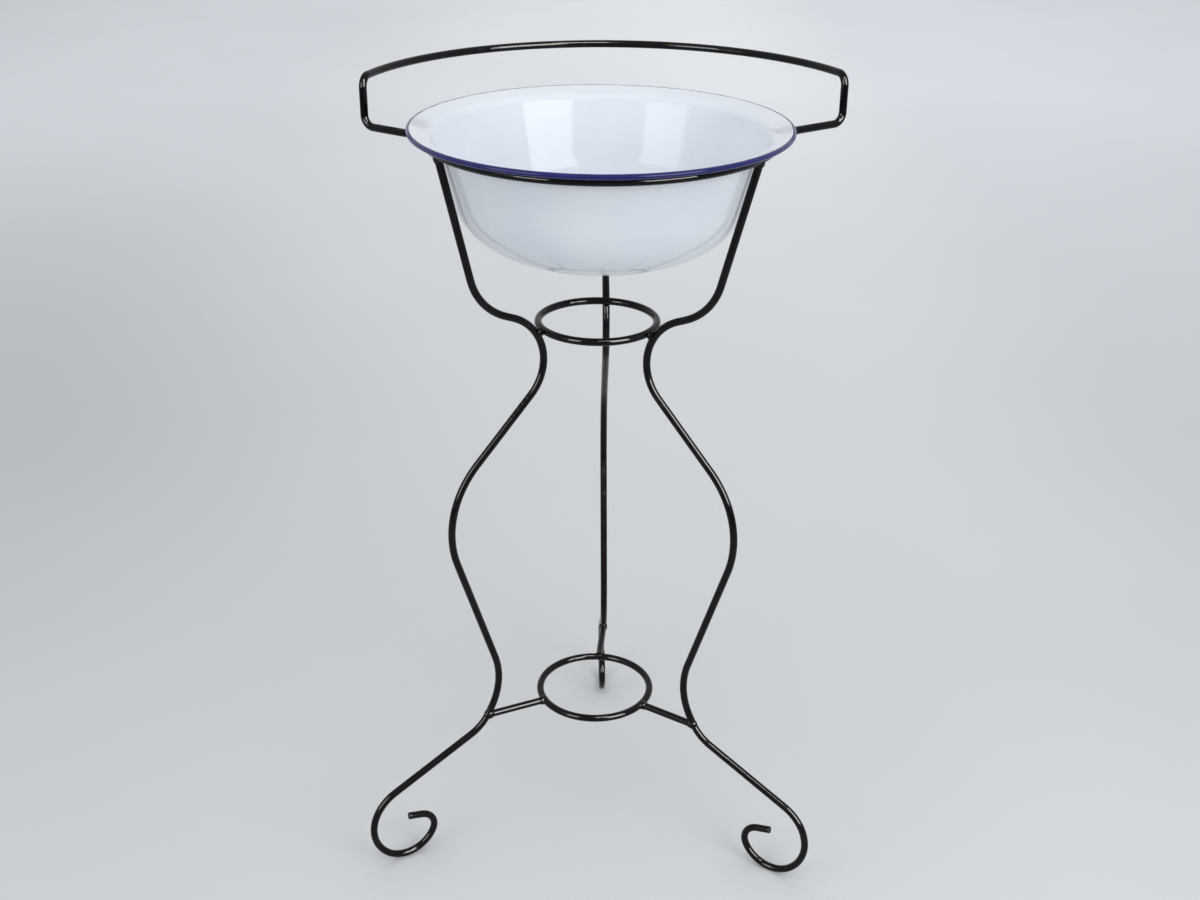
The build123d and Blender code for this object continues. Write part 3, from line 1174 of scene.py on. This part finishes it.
    def welds(self, hoops: dict[str, np.ndarray]) -> dict[str, WeldBead]:
        """Beads that tie the leg and its spoke to the rings.

        Args:
            hoops: Centre lines of the rings by name, each closed on its start.

        Returns:
            The beads by the names of their nodes.
        """
        leg = self.line()
        inner, outer = self.spoke_ends()
        spoke = straight(inner, outer, self.step)
        away = unit(outer - inner)
        top = self.top_seat() + BAR / 2.0 * ahead(self.top_heading())
        waist = polar(self.waist_seat(), (BAR + self.root_gap) / 2.0, -self.neck_dip)
        joints = {
            "top_weld": (self.placed(top), (hoops["top_ring"], leg)),
            "waist_weld": (self.placed(waist), (hoops["waist_ring"], leg)),
            "foot_weld": (outer - away * BAR / 2.0, (spoke, leg)),
            "ring_weld": (inner + away * BAR / 2.0, (hoops["lower_ring"], spoke)),
        }
        beads = {}
        for index, (name, (heart, lines)) in enumerate(joints.items()):
            near = tuple(near_part(line, heart) for line in lines)
            beads[f"{name}_{self.side}"] = WeldBead(heart, near, seed=self.seed + 10 * index)
        return beads

    def build(self, workshop: Workshop) -> None:
        """Makes the leg's and the spoke's pieces.

        Args:
            workshop: Maker of the pieces.
        """
        workshop.bar(f"leg_{self.side}", self.line(), self.seed)
        inner, outer = self.spoke_ends()
        away = unit(outer - inner) * (BAR / 2.0 - SINK)
        spoke = straight(inner + away, outer - away, self.step)
        workshop.bar(f"spoke_{self.side}", spoke, self.seed + 5)


@dataclass(frozen=True)
class TowelRail:
    """Rail bent from one bar: out from the ring, up a post, round the back and down again.

    Attributes:
        rise: Height of the rail above the top ring.
        radius: Radius of its arch.
        forward: How far in front of the axis the arch is centred.
        sideways: How far to the right it is centred.
        arc_start: Angle at which the arch starts on each side.
        bend: Radius of its bends.
        turn: How far the whole rail is turned round.
        weld_drop: How far its welds lie under the ring's level.
        step: Largest distance between stations.
        seed: Seed of its unevenness.
    """

    rise: float = 48.4
    radius: float = 253.7
    forward: float = 32.2
    sideways: float = 7.7
    arc_start: float = 20.2
    bend: float = 11.0
    turn: float = 3.3
    weld_drop: float = 1.2
    step: float = 1.6
    seed: int = 71

    def centre(self) -> np.ndarray:
        """Centre of the arch before the rail is turned."""
        return np.array([self.sideways, -self.forward, TOP_RING_HEIGHT + self.rise])

    def turned(self, points: np.ndarray) -> np.ndarray:
        """Points turned round the axis with the rail.

        Args:
            points: Points of the rail before it is turned.

        Returns:
            The points in their place.
        """
        angle = np.radians(self.turn)
        across, along = (np.cos(angle), np.sin(angle), 0.0), (-np.sin(angle), np.cos(angle), 0.0)
        return points @ np.array([across, along, (0.0, 0.0, 1.0)])

    def half(self, side: float) -> list[np.ndarray]:
        """One end of the rail, from the top ring to the start of the arch.

        Args:
            side: -1 for the left end or 1 for the right one.

        Returns:
            The runs of points.
        """
        start = np.radians(self.arc_start)
        away = np.array([side * np.cos(start), np.sin(start), 0.0])
        arch_start = self.centre() + self.radius * away
        onward = np.array([-side * away[1], side * away[0], 0.0])
        top = arch_start - onward * self.bend
        foot = top - np.array([0.0, 0.0, self.rise])
        ring_side = np.array([side * TOP_RING_RADIUS, 0.0, TOP_RING_HEIGHT])
        out, up = unit(foot - ring_side), np.array([0.0, 0.0, 1.0])
        return [
            straight(ring_side + out * (BAR / 2.0 - SINK), foot - out * self.bend, self.step),
            quarter_turn(foot, out, up, self.bend, self.step / 2.0),
            straight(foot + up * self.bend, top - up * self.bend, self.step),
            quarter_turn(top, up, onward, self.bend, self.step / 2.0),
        ]

    def line(self) -> np.ndarray:
        """Centre line from the left of the top ring to its right.

        Returns:
            Its points.
        """
        start = np.radians(self.arc_start)
        count = int(np.ceil(self.radius * (np.pi - 2.0 * start) / self.step))
        angle = np.linspace(np.pi - start, start, count)
        ways = np.stack([np.cos(angle), np.sin(angle), 0.0 * angle], axis=1)
        arch = self.centre() + self.radius * ways
        back = [run[::-1] for run in reversed(self.half(1.0))]
        return self.turned(joined(self.half(-1.0) + [arch] + back))

    def welds(self, top_ring: np.ndarray) -> dict[str, WeldBead]:
        """Beads at the rail's two ends.

        Args:
            top_ring: Centre line of the top ring, closed on its start.

        Returns:
            The beads by the names of their nodes.
        """
        beads = {}
        for name, side in (("left", -1.0), ("right", 1.0)):
            place = [side * (TOP_RING_RADIUS + BAR / 2.0), 0.0, TOP_RING_HEIGHT - self.weld_drop]
            heart = self.turned(np.array(place))
            near = tuple(near_part(line, heart) for line in (top_ring, self.line()))
            beads[f"rail_weld_{name}"] = WeldBead(heart, near, seed=self.seed + int(side) + 3)
        return beads

    def build(self, workshop: Workshop) -> None:
        """Makes the rail's piece."""
        workshop.bar("towel_rail", self.line(), self.seed)


@dataclass(frozen=True)
class Stand:
    """The welded stand: rings, legs with their spokes, towel rail and welds.

    Attributes:
        hoops: The three rings.
        legs: The three legs.
        rail: The towel rail.
        seam_azimuth: Where the waist ring's bar is closed by a weld.
    """

    hoops: tuple[Hoop, ...] = (
        Hoop("top_ring", TOP_RING_RADIUS, TOP_RING_HEIGHT, seed=11),
        Hoop("waist_ring", WAIST_RING_RADIUS, WAIST_RING_HEIGHT, LOWER_SIDEWAYS, seed=12, step=1.4),
        Hoop("lower_ring", LOWER_RING_RADIUS, LOWER_RING_HEIGHT, LOWER_SIDEWAYS, seed=13, step=1.4),
    )
    legs: tuple[Leg, ...] = (
        Leg("rear", 90.7, 10.3, 0.3, seed=21),
        Leg("left", 210.0, 5.3, 0.75, seed=22),
        Leg("right", 328.5, 2.3, 0.5, seed=23),
    )
    rail: TowelRail = field(default_factory=TowelRail)
    seam_azimuth: float = 31.0

    def build(self, workshop: Workshop) -> None:
        """Makes every piece of the stand.

        Args:
            workshop: Maker of the pieces.
        """
        lines = {hoop.node: np.concatenate([hoop.line(), hoop.line()[:1]]) for hoop in self.hoops}
        for part in (*self.hoops, *self.legs, self.rail):
            part.build(workshop)
        beads = self.rail.welds(lines["top_ring"])
        for leg in self.legs:
            beads.update(leg.welds(lines))
        place = polar(np.array([LOWER_SIDEWAYS, 0.0]), WAIST_RING_RADIUS, self.seam_azimuth)
        seam = np.array([*place, WAIST_RING_HEIGHT])
        line = near_part(lines["waist_ring"], seam)
        beads["waist_ring_seam_weld"] = WeldBead(seam, (line,), seed=91, ball=4.4, reach=6.0, lumps=0.25)
        for node, bead in beads.items():
            workshop.piece(node + "_bead", bead.grid(), Body.STAND, node)


# --- the basin


@dataclass(frozen=True)
class Basin:
    """Basin pressed from one sheet, with a flared flange and a curled edge.

    Attributes:
        sheet: Thickness with its enamel.
        depth: Height from the flat base to the top of the edge.
        base_radius: Radius of the flat base.
        wall_bend: Outside radius from the base up into the wall.
        flare_bend: Underside radius from the wall out into the flange.
        flange_slope: Slope of the flange.
        overhang: How far the curl's centre lies outside the top ring's line.
        rim_bend: Outside radius of the curl.
        curl: How far the edge is rolled under.
        seat_clearance: Gap to the top ring.
        seat_angle: Direction from the flare's peg in which the ring lies.
        columns: Points round the basin.
        steps: Largest distance between points on the wall, on the flare and on the curl.
    """

    sheet: float = 1.2
    depth: float = 128.0
    base_radius: float = 69.6
    wall_bend: float = 85.5
    flare_bend: float = 10.0
    flange_slope: float = 20.0
    overhang: float = 13.6
    rim_bend: float = 2.6
    curl: float = 250.0
    seat_clearance: float = 0.3
    seat_angle: float = 112.0
    columns: int = 384
    steps: Three = (3.0, 0.9, 0.3)

    def side(self, inset: float) -> list[np.ndarray]:
        """Section of one face of the sheet, from the axis to the end of the curl.

        Args:
            inset: Depth into the sheet from the underside.

        Returns:
            The runs of points, the last of them the curl.
        """
        ring = np.array([TOP_RING_RADIUS, TOP_RING_HEIGHT])
        flare = polar(ring, self.flare_bend - BAR / 2.0 - self.seat_clearance, self.seat_angle + 180.0)
        rim_out = TOP_RING_RADIUS + self.overhang
        slope = np.radians(self.flange_slope)
        drop = self.flare_bend + self.sheet - self.rim_bend
        rise = (drop + (rim_out - flare[0]) * np.sin(slope)) / np.cos(slope)
        rim = np.array([rim_out, flare[1] + rise])
        base = rim[1] + self.rim_bend - self.depth
        corner = np.array([self.base_radius, base + self.wall_bend])
        curl_bend = Turn.RIGHT.value * (self.rim_bend - self.sheet + inset)
        pegs = [
            (corner, Turn.LEFT.value * (self.wall_bend - inset)),
            (flare, Turn.RIGHT.value * (self.flare_bend + inset)),
            (rim, curl_bend),
        ]
        wall_step, flare_step, curl_step = self.steps
        runs, heading = bent_line(np.array([0.0, base + inset]), pegs, wall_step)
        before = heading_of(runs[2])
        runs[3] = round_peg(flare, pegs[1][1], before, heading_of(runs[4]) - before, flare_step)
        runs.append(round_peg(rim, curl_bend, heading, -np.radians(self.curl), curl_step))
        return runs

    def grid(self) -> Grid:
        """Section turned about the axis.

        The point at a place on the section and an azimuth is (r cos azimuth, r sin azimuth, z).
        The section runs from the axis over the inside, round the curl and back along the
        underside, and its marks count the way from the crest of the curl.

        Returns:
            The surface.
        """
        inside, outside = joined(self.side(self.sheet)), joined(self.side(0.0))
        section = np.concatenate([inside, outside[::-1]])
        crest = int(np.argmax(section[:, 1]))
        way = np.concatenate([[0.0], np.cumsum(np.linalg.norm(np.diff(section, axis=0), axis=1))])
        way = (way - way[crest]) * MM
        turn = np.linspace(0.0, 2.0 * np.pi, self.columns, endpoint=False)
        radius, height = section[1:-1, :1], section[1:-1, 1:]
        places = (radius * np.cos(turn), radius * np.sin(turn), height + 0.0 * turn)
        poles = tuple(np.array([0.0, 0.0, end[1]]) for end in (section[0], section[-1]))
        return Grid(np.stack(places, axis=-1)[:, ::-1], way[1:-1], poles)

    def build(self, workshop: Workshop) -> None:
        """Makes the basin's piece."""
        workshop.piece("basin_pressing", self.grid(), Body.BASIN, "basin")


# --- the studio


@dataclass(frozen=True)
class Softbox:
    """Rectangular lamp.

    Attributes:
        name: Name of the lamp.
        place: Where it hangs, in metres.
        size: Width and height in metres.
        watts: Its power.
        glint: Whether it only adds gloss to the painted bars and lights nothing.
        aim: Where it points, in metres.
    """

    name: str
    place: Three
    size: Two
    watts: float
    glint: bool = False
    aim: Three = (0.0, 0.0, 0.5)

    def build(self, paint: bpy.types.Material) -> None:
        """Makes the lamp.

        Args:
            paint: Finish of the pieces that a glint shows on.
        """
        lamp = bpy.data.lights.new(self.name, "AREA")
        lamp.shape = "RECTANGLE"
        lamp.size, lamp.size_y = self.size
        lamp.energy = self.watts
        made = put(self.name, lamp)
        made.location = self.place
        away = Vector(np.subtract(self.aim, self.place))
        made.rotation_euler = away.to_track_quat("-Z", "Y").to_euler()
        if self.glint:
            made.visible_diffuse = False
            bars = bpy.data.collections.new(self.name + "_bars")
            for piece in bpy.context.scene.objects:
                if piece.type == "MESH" and paint in piece.data.materials[:]:
                    bars.objects.link(piece)
            made.light_linking.receiver_collection = bars


@dataclass(frozen=True)
class Camera:
    """Camera that looks down on the stand from the front.

    Attributes:
        place: Where it stands, in millimetres.
        yaw: Turn to the right in radians.
        pitch: Tilt down in radians.
        roll: Turn about its own axis in radians.
        lens: Focal length in millimetres.
        sensor: Width of the sensor in millimetres.
        sight: Nearest and farthest distance that it sees, in metres.
    """

    place: Three = (-10.37, -1474.69, 1158.92)
    yaw: float = 0.0082
    pitch: float = 0.4407
    roll: float = 0.0085
    lens: float = 45.204
    sensor: float = 36.0
    sight: Two = (0.05, 100.0)

    def build(self) -> None:
        """Makes the camera and gives it to the scene."""
        flat = np.cos(self.pitch)
        onward = np.array([np.sin(self.yaw) * flat, np.cos(self.yaw) * flat, -np.sin(self.pitch)])
        level = unit(np.cross(onward, [0.0, 0.0, 1.0]))
        rise = np.cross(level, onward)
        right = np.cos(self.roll) * level + np.sin(self.roll) * rise
        up = np.cos(self.roll) * rise - np.sin(self.roll) * level
        data = bpy.data.cameras.new("camera")
        data.sensor_width, data.lens = self.sensor, self.lens
        data.clip_start, data.clip_end = self.sight
        made = put("camera", data)
        matrix = np.eye(4)
        matrix[:3, :3] = np.stack([right, up, -onward], axis=1)
        matrix[:3, 3] = np.array(self.place) * MM
        made.matrix_world = Matrix(matrix.tolist())
        bpy.context.scene.camera = made


@dataclass(frozen=True)
class Studio:
    """Pale floor, soft lamps, plain surroundings and the camera.

    Attributes:
        floor: Finish of the floor.
        half_floor: Half the floor's width in metres.
        sky: Colour of the surroundings.
        horizon: Their strength at the horizon.
        overhead: Their strength straight above.
        backdrop: Strength at which the camera and the gloss see them.
        lamps: The lamps.
        camera: The camera.
    """

    floor: PaleFloor = field(default_factory=PaleFloor)
    half_floor: float = 30.0
    sky: Three = (0.97, 0.98, 1.0)
    horizon: float = 0.40
    overhead: float = 1.19
    backdrop: float = 0.74
    lamps: tuple[Softbox, ...] = (
        Softbox("right_window", (1.98, -2.28, 1.84), (2.0, 2.2), 43.0),
        Softbox("left_window", (-2.41, -1.95, 1.63), (1.8, 1.6), 20.0),
        Softbox("right_strip", (1.89, -2.10, 2.00), (1.8, 2.4), 380.0, glint=True),
        Softbox("left_strip", (-1.99, -2.20, 1.70), (1.2, 2.0), 110.0, glint=True),
        Softbox("high_strip", (0.49, -1.51, 3.04), (1.0, 0.6), 90.0, glint=True),
    )
    camera: Camera = field(default_factory=Camera)

    def surroundings(self) -> bpy.types.World:
        """Makes a room that is pale overhead and dim at the horizon, before a pale backdrop.

        The room's strength in a direction of height z is horizon + (overhead - horizon) z squared.
        It lights what is matt. The camera and the gloss of a surface see the backdrop instead.

        Returns:
            The world.
        """
        n = Nodes(bpy.data.worlds.new("surroundings"), "Generated")
        height = n.part(n.place, "Z")
        square = n.product(height, height)
        room = n.between(square, 0.0, 1.0, self.horizon, self.overhead, Ramp.EVEN)
        ray = n.add("ShaderNodeLightPath").outputs
        seen = n.maths("MAXIMUM", ray["Is Camera Ray"], ray["Is Glossy Ray"])
        seen = n.maths("MAXIMUM", seen, ray["Is Transmission Ray"])
        strength = n.between(seen, 0.0, 1.0, room, self.backdrop, Ramp.EVEN)
        values = {"Color": (*self.sky, 1.0), "Strength": strength}
        n.add("ShaderNodeOutputWorld", {"Surface": n.add("ShaderNodeBackground", values).outputs[0]})
        return n.owner

    def build(self, paint: bpy.types.Material) -> None:
        """Makes the whole studio.

        Args:
            paint: Finish of the bars, on which the strip lamps glint.
        """
        corners = np.array([(-1, -1, 0), (1, -1, 0), (1, 1, 0), (-1, 1, 0)]) * self.half_floor
        mesh = bpy.data.meshes.new("floor")
        mesh.from_pydata(corners.tolist(), [], [(0, 1, 2, 3)])
        mesh.materials.append(self.floor.build())
        made = put("floor", mesh)
        bpy.context.scene.world = self.surroundings()
        for lamp in self.lamps:
            lamp.build(paint)
        self.camera.build()
        bpy.context.scene.view_settings.view_transform = "Standard"


def main() -> None:
    """Builds the stand, the basin and the studio."""
    logging.basicConfig(level=logging.INFO, format="%(name)s: %(message)s")
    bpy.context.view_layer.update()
    workshop = Workshop(BlackPaint().build(), Enamel().build())
    Stand().build(workshop)
    Basin().build(workshop)
    Studio().build(workshop.paint)


if __name__ == "__main__":
    main()
